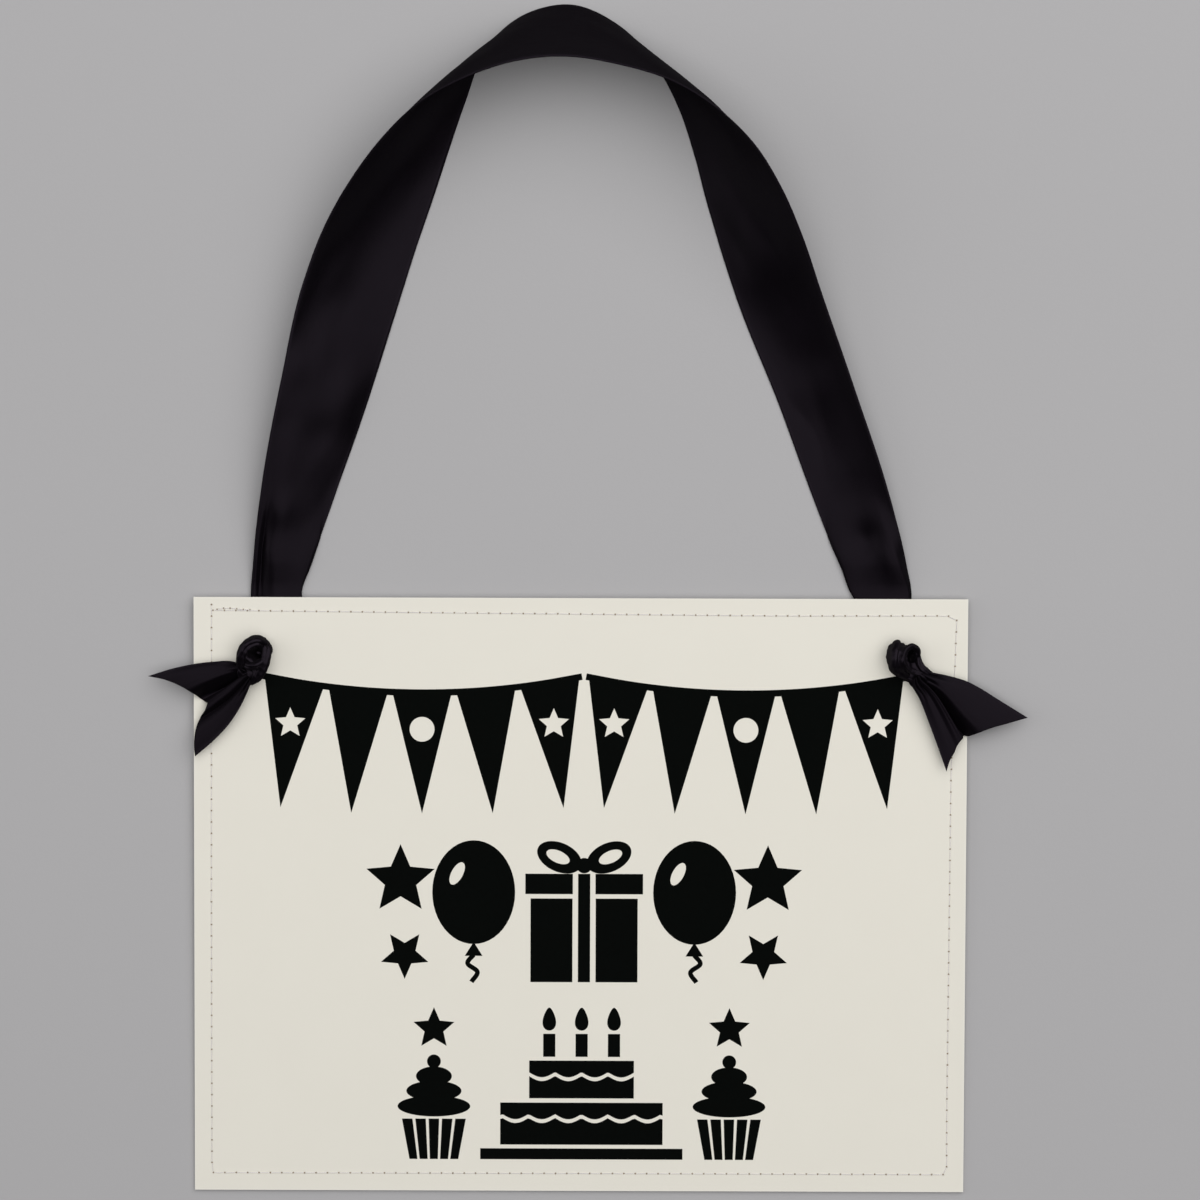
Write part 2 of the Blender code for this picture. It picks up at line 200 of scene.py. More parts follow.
lens = bpy.data.cameras.new("photoCamera")
lens.sensor_width = view["sensor"]
lens.lens = view["lens"]
lens.clip_start = 0.05
camera = bpy.data.objects.new("photoCamera", lens)
camera.location = [x * mm for x in view["place"]]
camera.rotation_euler = [math.radians(x) for x in view["turn"]]
scene.collection.objects.link(camera)
scene.camera = camera

for lampName, lamp in lamps.items():
    light = bpy.data.lights.new(lampName, "AREA")
    light.size = lamp["size"]
    light.energy = lamp["power"]
    item = bpy.data.objects.new(lampName, light)
    item.location = [x * mm for x in lamp["place"]]
    aim = lampAim * mm - np.array(item.location)
    item.rotation_euler = (math.atan2(math.hypot(aim[0], aim[1]), -aim[2]), 0, math.atan2(-aim[0], aim[1]))
    scene.collection.objects.link(item)

world = bpy.data.worlds.new("studio")
world.use_nodes = True
background = world.node_tree.nodes["Background"]
background.inputs[0].default_value = (1.0, 1.0, 1.0, 1.0)
background.inputs[1].default_value = tabletop["worldStrength"]
scene.world = world


def greyPaper():
    # Seamless studio paper: an even grey with a faint cloudiness
    material, tree, shader = startMaterial("greyPaper", 0.9, 0.1)
    place = objectPlace(tree)
    share = noise(tree, place, 6.0, 3.0)
    darkest, lightest = [tuple((1 + way * tabletop["cloudiness"]) * c for c in tabletop["color"]) for way in (-1, 1)]
    color = blendColors(tree, share, darkest, lightest)
    tree.links.new(color, shader.inputs["Base Color"])
    bump(tree, shader, noise(tree, place, 900.0), 0.15, 0.0002)
    return material


corners = np.array([(-1, -1), (1, -1), (1, 1), (-1, 1)], float) * tabletop["half"]
tablePoints = np.column_stack([corners, tableLevel(corners[:, 1]) - 0.03])
meshPiece("tableSurface", tablePoints, [(0, 1, 2, 3)], greyPaper(), smooth=False)


# Cards
print("cards and ink")
# edge is the colour of a painted highlight along the card's edges
card = {"light": (0.795, 0.767, 0.686), "dark": (0.765, 0.735, 0.655), "edge": (0.825, 0.80, 0.725),
        "rim": 0.7, "rimFade": 0.6, "rimShare": 0.8}


def ivoryCard():
    # Uncoated card: cloudy pulp, short fibres and a paler rim along the edges, a painted highlight
    material, tree, shader = startMaterial("ivoryCard", 0.82, 0.22)
    place = objectPlace(tree)
    cloud = noise(tree, place, 45.0, 4.0, 0.6)
    fibre = addNode(tree, "ShaderNodeTexNoise", {"Vector": place, "Scale": 1500.0, "Detail": 2.0, "Distortion": 2.5})
    share = calc(tree, "MULTIPLY_ADD", fibre.outputs[0], 0.35, calc(tree, "MULTIPLY", cloud, 0.65))
    pulp = blendColors(tree, share, card["dark"], card["light"])
    split = addNode(tree, "ShaderNodeSeparateXYZ", {0: place})
    # painted highlight: close to the card's edges the pulp turns towards the paler edge colour
    past = [calc(tree, "SUBTRACT", calc(tree, "ABSOLUTE", split.outputs[k]), (board[half] - card["rim"]) * mm)
            for k, half in enumerate(("halfWide", "halfHigh"))]
    rim = addNode(tree, "ShaderNodeMapRange", {0: calc(tree, "MAXIMUM", *past), 1: 0.0, 2: card["rimFade"] * mm,
                                               3: 0.0, 4: card["rimShare"]})
    tree.links.new(blendColors(tree, rim.outputs[0], pulp, card["edge"]), shader.inputs["Base Color"])
    bump(tree, shader, calc(tree, "ADD", calc(tree, "MULTIPLY", cloud, 2.0), fibre.outputs[0]), 0.3, 0.00002)
    return material


cardMaterial = ivoryCard()
for node in ("front_card", "back_card"):
    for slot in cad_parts[node].material_slots:
        slot.material = cardMaterial


def blackInk():
    # Offset ink sunk into the pulp: near black, slightly uneven, with the card's tooth showing through
    material, tree, shader = startMaterial("blackInk", 0.8, 0.04)
    place = objectPlace(tree)
    share = noise(tree, place, 700.0, 3.0, 0.6)
    color = blendColors(tree, share, (0.0007, 0.0012, 0.0009), (0.0016, 0.0022, 0.0018))
    tree.links.new(color, shader.inputs["Base Color"])
    bump(tree, shader, share, 0.25, 0.00002)
    return material


ink = {"thick": 0.03, "step": 0.004, "swags": ((-115.0, 0.5), (2.0, 117.5)), "swagTop": 79.6, "swagSag": 6.0,
       "swagWide": 2.4, "pennants": 5, "pennantWide": 21.0, "pennantTall": 43.0, "dot": 9.0, "star": 11.5,
       "motifDrop": 12.5, "giftX": 1.5, "cakeX": 0.75, "cakeFloor": -96.4, "dripHigh": 1.9, "dripWide": 9.6}


def oval(x, y, wide, high, turn=0.0, count=48):
    # An ellipse round x, y, turned by turn degrees
    angle = np.linspace(0, 2 * np.pi, count, endpoint=False)
    flat = np.column_stack([wide / 2 * np.cos(angle), high / 2 * np.sin(angle)])
    cos, sin = math.cos(math.radians(turn)), math.sin(math.radians(turn))
    return flat @ np.array([(cos, sin), (-sin, cos)]) + (x, y)


def star(x, y, size, turn=90.0):
    # Ten corners, every second one at 0.46 of the radius
    angle = np.radians(turn) + np.arange(10) * np.pi / 5
    radius = np.where(np.arange(10) % 2, 0.46, 1.0) * size / 2
    return np.column_stack([x + radius * np.cos(angle), y + radius * np.sin(angle)])


def block(left, low, right, high):
    # A rectangle's four corners
    return np.array([(left, low), (right, low), (right, high), (left, high)])


def flame(x, y, wide, high, count=28):
    # An egg with its narrow end up: an ellipse whose width shrinks towards the top
    angle = np.linspace(-np.pi / 2, 1.5 * np.pi, count, endpoint=False)
    up = (np.sin(angle) + 1) / 2
    return np.column_stack([x + wide / 2 * np.cos(angle) * (1 - 0.55 * up), y + high * up])


def between(left, right, low, high, count=60):
    # The area between two curves over the same stretch of x; low and high are functions of x
    x = np.linspace(left, right, count)
    return np.vstack([np.column_stack([x, low(x)]), np.column_stack([x, high(x)])[::-1]])


def stroke(points, wide, count=40):
    # A line of even width along a smooth curve: the curve moved half the width to each side
    line = smoothCurve(points, count)
    ahead = unit(np.gradient(line, axis=0))
    side = np.column_stack([-ahead[:, 1], ahead[:, 0]]) * wide / 2
    return np.vstack([line - side, (line + side)[::-1]])


def rayReach(outline, centre, angles):
    # How far a ray from the centre goes before it meets the outline, for each angle
    start = outline - centre
    side = np.roll(start, -1, axis=0) - start
    ray = np.column_stack([np.cos(angles), np.sin(angles)])
    cross = ray[:, None, 0] * side[None, :, 1] - ray[:, None, 1] * side[None, :, 0]
    cross = np.where(np.abs(cross) < 1e-9, 1e-9, cross)
    reach = (start[None, :, 0] * side[None, :, 1] - start[None, :, 1] * side[None, :, 0]) / cross
    share = (start[None, :, 0] * ray[:, None, 1] - start[None, :, 1] * ray[:, None, 0]) / cross
    return np.where((reach > 0) & (share > -1e-6) & (share < 1 + 1e-6), reach, np.inf).min(axis=1)


def cutOut(outline, window, centre):
    # The outline and the window in it as two rings of points on the same rays from the centre
    centre = np.array(centre)
    corners = np.vstack([outline, window]) - centre
    ways = np.concatenate([np.arctan2(corners[:, 1], corners[:, 0]), np.linspace(-3.1, 3.1, 40)])
    angles = np.unique(np.round(ways, 5))
    ray = np.column_stack([np.cos(angles), np.sin(angles)])
    return tuple(centre + ray * rayReach(shape, centre, angles)[:, None] for shape in (outline, window))


def swag(x, left, right):
    # The height of the bunting's cord at x: a parabola that sags most halfway
    return ink["swagTop"] - ink["swagSag"] * (1 - ((2 * x - left - right) / (right - left)) ** 2)


def bunting(left, right):
    # One sagging cord with pennants: every second one is plain, the others have a star, or a dot in the middle
    x = np.linspace(left, right, 9)
    solid, windowed = [stroke(np.column_stack([x, swag(x, left, right)]), ink["swagWide"])], []
    step, half = (right - left) / ink["pennants"], ink["pennantWide"] / 2
    for k in range(ink["pennants"]):
        at = left + step * (k + 0.5)
        top = [swag(at + d, left, right) - 0.4 * ink["swagWide"] for d in (-half, half)]
        lean = (top[1] - top[0]) / (2 * half) * ink["pennantTall"] * 0.7
        pennant = np.array([(at - half, top[0]), (at + lean, min(top) - ink["pennantTall"]), (at + half, top[1])])
        centre = (at + lean * 0.28, min(top) - ink["motifDrop"])
        if k % 2 == 0:
            motif = oval(*centre, ink["dot"], ink["dot"]) if k == 2 else star(*centre, ink["star"])
            windowed.append((pennant, motif, centre))
        else:
            solid.append(pennant)
    return solid, windowed


def partyMotifs():
    # Solid shapes, and shapes with a window: bunting, then a gift between balloons and stars, then cakes
    solid, windowed = [], []
    gift, cake = ink["giftX"], ink["cakeX"]
    for left, right in ink["swags"]:
        more = bunting(left, right)
        solid += more[0]
        windowed += more[1]
    for side in (-1, 1):
        x = gift + side * 40.0  # a balloon with its glint, its knot and its string
        windowed.append((oval(x, 1.2, 30.0, 37.8), oval(x - 6.0, 8.0, 4.2, 9.0, -28.0), (x - 6.0, 8.0)))
        solid.append(np.array([(x - 3.2, -22.0), (x + 3.2, -22.0), (x, -16.9)]))
        string = [(x, -21.6), (x + side * 2.2, -24.5), (x - side * 1.4, -28.0), (x + side * 0.8, -31.5)]
        solid.append(stroke(string, 1.7))
        solid += [star(gift + side * 66.5, 5.6, 26.0), star(gift + side * 65.0, -21.5, 18.0, 54.0)]
        eye = (gift + side * 9.5, 14.2)  # the opening in this half of the gift's bow
        bow = oval(gift + side * 9.0, 14.0, 17.0, 10.5, side * 24.0)
        windowed.append((bow, oval(*eye, 9.0, 4.4, side * 24.0), eye))
        box, lid = gift + side * 11.8, gift + side * 12.7
        solid += [block(box - 7.6, -31.5, box + 7.6, -1.0), block(lid - 8.6, 0.6, lid + 8.6, 8.0)]
        x = cake + side * 53.6  # a cupcake: pleated cup, four rounds of cream and a star above
        for pleat in range(-2, 3):
            low, high = x + pleat * 3.7, x + pleat * 3.7 + pleat * 1.15
            solid.append(np.array([(low - 1.45, ink["cakeFloor"]), (low + 1.45, ink["cakeFloor"]),
                                   (high + 1.9, -81.6), (high - 1.9, -81.6)]))
        solid += [oval(x, -77.0, 26.4, 7.6), oval(x, -71.4, 20.0, 7.4), oval(x, -66.0, 13.0, 7.0),
                  oval(x, -60.6, 5.0, 5.0), star(x, -48.6, 15.6)]
    solid += [block(gift - 2.2, -31.5, gift + 2.2, 8.0), oval(gift, 11.0, 5.6, 5.6)]

    def drip(x):
        # Icing that runs down in round drops, one after another
        return ink["dripHigh"] * np.abs(np.sin((x - cake) * np.pi / ink["dripWide"]))

    for half, low, high in ((29.5, -91.0, -75.6), (19.0, -74.0, -60.2)):  # the cake's two tiers
        reach = (cake - half, cake + half)
        solid.append(between(*reach, lambda x: np.full_like(x, low), lambda x: high - 5.6 - drip(x)))
        solid.append(between(*reach, lambda x: high - 4.2 - drip(x), lambda x: np.full_like(x, high)))
    solid.append(block(cake - 36.75, ink["cakeFloor"], cake + 36.75, -92.4))
    for x in (cake - 11.75, cake, cake + 11.75):
        solid += [block(x - 2.2, -58.8, x + 2.2, -50.4), flame(x, -49.2, 6.4, 8.4)]
    return solid, windowed


def printDesign():
    # Each shape is a thin plate: the same outline at the card's face and one ink thickness above it. Shapes
    # that overlap get slightly different levels
    points, faces, used = [], [], 0
    solid, windowed = partyMotifs()
    for index, outline in enumerate(solid):
        n = len(outline)
        level = ink["thick"] + ink["step"] * (index % 4)
        points += [np.column_stack([outline, np.full(n, board["face"] + z)]) for z in (0.0, level)]
        low, high = [used + k for k in range(n)], [used + n + k for k in range(n)]
        faces += (ringFaces(2, n) + used).tolist() + [low[::-1], high]
        used += 2 * n
    for index, (outline, window, centre) in enumerate(windowed):
        outer, inner = cutOut(outline, window, centre)
        n = len(outer)
        level = ink["thick"] + ink["step"] * (4 + index % 2)
        loops = [np.column_stack([ring, np.full(n, board["face"] + z)]) for ring, z in
                 ((outer, 0.0), (outer, level), (inner, level), (inner, 0.0))]
        points.append(np.stack(loops, axis=1).reshape(-1, 3))
        rings = np.vstack([np.arange(4 * n).reshape(n, 4), np.arange(4)])
        k, next4 = np.arange(4), (np.arange(4) + 1) % 4
        around = np.stack([rings[:-1][:, k], rings[1:][:, k], rings[1:][:, next4], rings[:-1][:, next4]], -1)
        faces += (around.reshape(-1, 4) + used).tolist()
        used += 4 * n
    piece = meshPiece("printedDesign", np.vstack(points), faces, blackInk(), smooth=False)
    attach(piece, "board")


printDesign()


# Stitches
print("stitches")
seam = {
    "pitch": 4.15, "lockPitch": 2.6, "thread": 0.14, "arch": 0.12, "dip": 0.12, "inset": 0.035, "span": 0.93,
    "rings": 8, "around": 6,
    "hole": 0.3, "burr": 0.5, "burrHigh": 0.05, "holeRings": 4, "holeAround": 8,
    "path": [(-132.7, 103.2), (-57.7, 102.6), (72.4, 101.8), (131.7, 102.0), (135.6, 101.5), (134.0, 42.6),
             (133.5, -75.6), (133.6, -101.5), (7.6, -101.5), (-133.5, -101.6), (-133.5, -2.0), (-133.2, 105.2)],
    "lock": [(-131.2, 103.5), (-127.9, 104.1), (-123.4, 103.6), (-119.4, 103.3)],
}


def sewingThread():
    # Two twisted plies: slanting stripes along the stitch, with a soft sheen
    material, tree, shader = startMaterial("sewingThread", 0.55, 0.3, Sheen_Weight=0.25, Sheen_Roughness=0.4)
    uv = addNode(tree, "ShaderNodeUVMap", uv_map="clothLength").outputs[0]
    ply = addNode(tree, "ShaderNodeTexWave", {"Vector": uv, "Scale": 900.0, "Distortion": 0.6},
                  bands_direction="DIAGONAL")
    color = blendColors(tree, ply.outputs[1], (0.68, 0.645, 0.625), (0.84, 0.80, 0.79))
    tree.links.new(color, shader.inputs["Base Color"])
    bump(tree, shader, ply.outputs[1], 0.6, 0.00003)
    return material


def holeShade():
    # Painted shade for the bottom of a needle hole: brown, with darker specks
    material, tree, shader = startMaterial("needleHoleShade", 0.95, 0.05)
    share = noise(tree, objectPlace(tree), 2500.0)
    color = blendColors(tree, share, (0.15, 0.11, 0.075), (0.34, 0.26, 0.18))
    tree.links.new(color, shader.inputs["Base Color"])
    return material


def stitchPlaces(path, pitch):
    # Needle holes evenly spread along straight runs, as near to the pitch as a whole number of stitches allows
    line = np.array(path, float)
    lengths = alongLengths(line)
    count = max(2, int(round(lengths[-1] / pitch)) + 1)
    at = np.linspace(0, lengths[-1], count)
    return np.column_stack([np.interp(at, lengths, line[:, 0]), np.interp(at, lengths, line[:, 1])])


def stitchRow(name, node, body, side):
    # One arched thread from each needle hole to the next: a ring of points carried along a low arch, copied
    # to every stitch. side is 1 for the printed face and -1 for the back
    rings, around = seam["rings"], seam["around"]
    rowsOfHoles = [stitchPlaces(seam["path"], seam["pitch"]), stitchPlaces(seam["lock"], seam["lockPitch"])]
    starts = np.vstack([row[:-1] for row in rowsOfHoles])
    ends = np.vstack([row[1:] for row in rowsOfHoles])
    ahead = unit(ends - starts)
    reach = np.linalg.norm(ends - starts, axis=1)
    t = np.linspace(0, 1, rings)
    turn = np.linspace(0, 2 * np.pi, around, endpoint=False)
    lift = seam["arch"] * np.sin(np.pi * t) ** 0.45 - seam["dip"] * (np.abs(2 * t - 1) > 0.98)
    size = seam["thread"] * (0.55 + 0.45 * np.sin(np.pi * t) ** 0.5)
    middle = starts[:, None] + (ends - starts)[:, None] * (seam["inset"] + seam["span"] * t)[None, :, None]
    surface = board["face"] if side > 0 else 0.0
    across = np.column_stack([-ahead[:, 1], ahead[:, 0]])
    ring = size[:, None] * np.stack([np.cos(turn), np.sin(turn)])[:, None, :]
    xy = middle[:, :, None] + across[:, None, None] * ring[0][None, :, :, None]
    z = surface + side * np.broadcast_to(lift[:, None] + ring[1], xy.shape[:3])
    points = np.concatenate([xy, z[..., None]], -1)
    if side > 0:
        points = points[:, :, ::-1]
    blocks = (np.arange(len(starts)) * rings * around)[:, None, None]
    faces = (ringFaces(rings, around)[None] + blocks).reshape(-1, 4).tolist()
    caps = np.array([np.arange(around)[::-1], np.arange(around) + (rings - 1) * around])
    faces += (caps[None] + blocks).reshape(-1, around).tolist()
    along = np.broadcast_to(t[None, :, None] * reach[:, None, None], points.shape[:3])
    uv = np.stack([np.broadcast_to(turn * seam["thread"], points.shape[:3]), along], -1)
    piece = meshPiece(name, points, faces, threadMaterial, uv)
    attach(piece, body)
    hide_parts(node)
    return np.vstack(rowsOfHoles)


def needleHoles(name, holes, side):
    # A crater at each hole: a burr that rises from the card, then falls into a middle painted dark as shade
    rings, around = seam["holeRings"], seam["holeAround"]
    turn = np.linspace(0, 2 * np.pi, around, endpoint=False)
    radius = np.array([seam["burr"], 0.72 * seam["burr"], seam["hole"], 0.03])
    level = np.array([0.004, seam["burrHigh"], 0.03, 0.012])
    surface = board["face"] if side > 0 else 0.0
    xy = holes[:, None, None] + (radius[:, None, None] * np.stack([np.cos(turn), np.sin(turn)], -1))[None]
    z = np.broadcast_to(surface + side * level[None, :, None], xy.shape[:3])
    points = np.concatenate([xy, z[..., None]], -1)
    if side < 0:
        points = points[:, :, ::-1]
    blocks = (np.arange(len(holes)) * rings * around)[:, None, None]
    faces = (ringFaces(rings, around)[None] + blocks).reshape(-1, 4).tolist()
    caps = np.array([np.arange(around) + (rings - 1) * around, np.arange(around)[::-1]])
    faces += (caps[None] + blocks).reshape(-1, around).tolist()
    piece = meshPiece(name, points, faces, cardMaterial)
    piece.data.materials.append(holeShadeMaterial)
    # of a hole's faces, the inmost band and the middle's cap get the painted shade of the hole's bottom
    paintedShadeFaces = np.concatenate([np.tile(np.repeat([0, 0, 1], around), len(holes)), np.tile([1, 0], len(holes))])
    piece.data.polygons.foreach_set("material_index", paintedShadeFaces.astype(np.int32))
    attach(piece, "board")


threadMaterial = sewingThread()
holeShadeMaterial = holeShade()
holes = stitchRow("needleStitches", "needle_thread", "board", 1)
stitchRow("bobbinStitches", "bobbin_thread", "board", -1)
needleHoles("frontNeedleHoles", holes, 1)
needleHoles("backNeedleHoles", holes, -1)


# Ribbon
print("ribbon")
# edge is the colour of the woven edges: partly the selvage's own weave, partly a painted highlight along them
satin = {"dark": (0.0007, 0.0005, 0.0008), "light": (0.0020, 0.0014, 0.0023), "edge": (0.0060, 0.0046, 0.0068),
         "tint": (0.94, 0.76, 1.0, 1.0), "width": 38.1}


def blackSatin(name, smoothest, specular):
    # Satin weave: long warp floats side by side, a weft rib along each woven edge, coloured lighter there as partly
    # its own weave and partly a painted highlight, and roughness that goes from smoothest up by 0.1 with the floats.
    # The pattern follows the ribbon's own width and length
    material, tree, shader = startMaterial(name, smoothest + 0.05, specular, Specular_Tint=satin["tint"])
    uv = addNode(tree, "ShaderNodeUVMap", uv_map="clothLength").outputs[0]
    split = addNode(tree, "ShaderNodeSeparateXYZ", {0: uv})
    warp = addNode(tree, "ShaderNodeTexWave", {"Vector": uv, "Scale": 1100.0, "Distortion": 0.4}, bands_direction="X")
    floats, drape = [noise(tree, addNode(tree, "ShaderNodeMapping", {"Vector": uv, "Scale": scale}).outputs[0], 1.0)
                     for scale in ((2600.0, 160.0, 1.0), (60.0, 14.0, 1.0))]
    edge = calc(tree, "ABSOLUTE", calc(tree, "SUBTRACT", split.outputs[0], satin["width"] / 2 * mm))
    selvageAndHighlight = addNode(tree, "ShaderNodeMapRange", {0: edge, 1: 0.0175, 2: 0.0181, 3: 0.0, 4: 1.0}).outputs[0]
    weft = addNode(tree, "ShaderNodeTexWave", {"Vector": uv, "Scale": 520.0}, bands_direction="Y")
    share = calc(tree, "MULTIPLY_ADD", floats, 0.5, calc(tree, "MULTIPLY", drape, 0.5))
    cloth = blendColors(tree, share, satin["dark"], satin["light"])
    # the woven edges are painted halfway to the edge colour: partly their own weave, partly a painted highlight
    color = blendColors(tree, calc(tree, "MULTIPLY", selvageAndHighlight, 0.5), cloth, satin["edge"])
    tree.links.new(color, shader.inputs["Base Color"])
    height = calc(tree, "MULTIPLY_ADD", warp.outputs[1], 0.5, calc(tree, "MULTIPLY", floats, 0.6))
    height = calc(tree, "MULTIPLY_ADD", calc(tree, "MULTIPLY", weft.outputs[1], selvageAndHighlight), 1.5, height)
    rough = addNode(tree, "ShaderNodeMapRange", {0: floats, 1: 0.3, 2: 0.7, 3: smoothest, 4: smoothest + 0.1})
    facing = addNode(tree, "ShaderNodeLayerWeight", {"Blend": 0.5}).outputs["Facing"]
    glancing = addNode(tree, "ShaderNodeMapRange", {0: facing, 1: 0.2, 2: 0.6, 3: 0.0, 4: 0.56}).outputs[0]
    rough = calc(tree, "ADD", rough.outputs[0], glancing)  # threads scatter light that glances off them
    tree.links.new(rough, shader.inputs["Roughness"])
    bump(tree, shader, height, 0.25, 0.00002)
    return material


satinMaterial = blackSatin("blackSatin", 0.36, 0.097)
tightSatin = blackSatin("tightSatin", 0.27, 0.15)  # drawn tight in the knots, it shines more
hanger = {
    "rows": 460, "across": 41,
    # outer edge x, distance from the fold line, lift off the table; inner edge x, distance; height of the arch
    "loop": [
        (-119.1, 0.0, 0.2, -100.9, 0.0, 0.0), (-118.3, 9.0, 1.5, -97.9, 8.5, 0.0),
        (-117.3, 20.3, 3.8, -94.4, 18.7, 0.0),
        (-114.8, 37.8, 8.0, -88.8, 34.5, 1.0), (-107.5, 74.7, 13.5, -76.9, 69.3, 0.8),
        (-98.5, 111.6, 17.0, -65.3, 105.4, -2.6), (-91.8, 128.9, 19.5, -59.8, 122.7, -4.5),
        (-82.0, 146.0, 24.0, -53.4, 141.5, -5.0), (-70.8, 160.5, 28.5, -48.0, 158.8, -4.0),
        (-57.6, 172.9, 31.0, -42.3, 176.0, -4.5), (-40.8, 181.9, 32.5, -35.3, 194.2, -3.0),
        (-23.6, 187.5, 32.0, -22.5, 206.4, -2.0), (-4.4, 189.4, 31.0, -3.9, 210.7, -1.5),
        (13.4, 186.9, 30.0, 12.1, 203.9, -2.0), (31.1, 181.5, 31.0, 25.1, 191.3, -2.5),
        (47.5, 171.8, 31.0, 34.7, 174.3, -3.5), (60.4, 159.6, 30.0, 40.7, 157.1, -2.5),
        (70.2, 144.5, 27.0, 45.3, 139.4, -1.5), (78.4, 126.6, 21.5, 50.7, 121.2, -1.3),
        (84.7, 109.3, 16.0, 56.6, 103.3, -2.4), (97.9, 73.0, 10.5, 70.8, 68.3, -3.2),
        (110.1, 37.5, 6.8, 83.7, 34.0, -1.8), (114.9, 20.6, 4.0, 89.7, 18.8, -0.4),
        (117.5, 9.0, 1.5, 94.2, 8.5, 0.0), (119.2, 0.0, 0.2, 97.4, 0.0, 0.0),
    ],
    # behind the board: centre x, y, z and half width, from the hole to the fold line
    "run": [(114.3, 88.4, 0.5, 2.3), (114.3, 88.6, -0.7, 2.5), (114.2, 90.4, -1.55, 3.0), (113.2, 94.0, -1.75, 4.6),
            (111.4, 99.0, -1.9, 7.2), (110.0, 104.5, -2.0, 9.0)],
    # folds at each foot: share of the ribbon's width, then the place across (-1 outer edge, 1 inner edge) and the
    # height at the board's edge, then the same two 14 mm further up the leg
    "leftFolds": [(0.0, -1.0, 1.0, -1.0, 1.4), (0.05, -0.9, 1.9, -0.92, 2.3), (0.09, -0.8, 1.4, -0.85, 1.5),
                  (0.13, -0.7, -0.3, -0.79, -0.6), (0.23, -0.48, 0.9, -0.68, 1.4), (0.31, -0.28, 2.4, -0.56, 3.3),
                  (0.38, -0.12, 3.0, -0.42, 3.9), (0.5, 0.08, 2.8, -0.1, 3.8), (0.65, 0.45, 2.1, 0.35, 3.0),
                  (0.78, 0.88, 1.5, 0.8, 2.0), (0.83, 1.0, 1.0, 1.0, 1.2), (0.88, 0.95, 0.35, 0.95, 0.5),
                  (1.0, 0.5, 0.1, 0.75, 0.1)],
    "rightFolds": [(0.0, -1.0, 0.0, -1.0, 0.0), (0.08, -0.99, 1.0, -0.97, 1.4), (0.16, -0.95, 2.1, -0.9, 3.0),
                   (0.23, -0.89, 2.8, -0.81, 4.3), (0.28, -0.78, 2.9, -0.69, 4.5), (0.5, -0.15, 2.4, -0.15, 3.4),
                   (0.66, 0.45, 1.9, 0.35, 2.5), (0.78, 0.9, 1.4, 0.8, 1.9), (0.83, 1.0, 1.0, 1.0, 1.3),
                   (0.88, 0.92, 0.45, 0.95, 0.6), (1.0, 0.45, 0.1, 0.7, 0.1)],
    # soft humps and hollows along the legs: x, y, reach, height
    "humps": [(-103.5, 191.0, 7.0, 1.3), (-82.0, 178.0, 11.0, 2.2), (-108.2, 139.0, 6.0, 1.2),
              (-95.0, 166.0, 7.0, -0.8), (-99.0, 214.0, 10.0, -1.5), (-108.0, 172.0, 6.0, -0.7),
              (94.0, 152.0, 8.0, 0.6), (102.3, 129.5, 6.0, -1.9), (80.0, 182.0, 9.0, 0.8), (68.0, 226.0, 10.0, 0.8),
              (88.0, 196.0, 8.0, -0.6)],
    "foldFade": 42.0, "foldStep": 14.0, "waveHigh": 0.35, "edgeLift": 0.25, "leastLift": 0.22,
    # puckers: how many, how wide and long each is, and the least and most of place across the width, distance
    # from the left hole, lean and height
    "puckers": 60, "puckerWide": 4.5, "puckerLong": 15.0, "puckerLeast": (0.1, 30.0, -0.4, -0.32),
    "puckerMost": (0.9, 500.0, 0.4, 0.32), "seed": 8,
}


def ribbonSpine():
    # Outer and inner edge of the whole ribbon, hole to hole, with its arch, as rows evenly spread in length
    loop = np.array(hanger["loop"])
    y = loop[:, [1, 4]] + board["foldY"]
    outer = np.column_stack([loop[:, 0], y[:, 0], tableLevel(y[:, 0]) + hanger["edgeLift"] + loop[:, 2]])
    inner = np.column_stack([loop[:, 3], y[:, 1], tableLevel(y[:, 1]) + hanger["edgeLift"]])
    middle = np.column_stack([outer, inner, loop[:, 5]])
    ends = []
    for side in (-1, 1):
        run = np.array(hanger["run"])
        spot = np.column_stack([side * run[:, 0], run[:, 1:3]])
        half = np.column_stack([side * run[:, 3], np.zeros((len(run), 2))])
        ends.append(np.column_stack([spot + half, spot - half, np.zeros(len(run))]))
    rows = np.vstack([ends[0], middle, ends[1][::-1]])
    places = alongLengths((rows[:, :3] + rows[:, 3:6]) / 2)
    return smoothRows(rows, places, np.linspace(0, places[-1], hanger["rows"]))


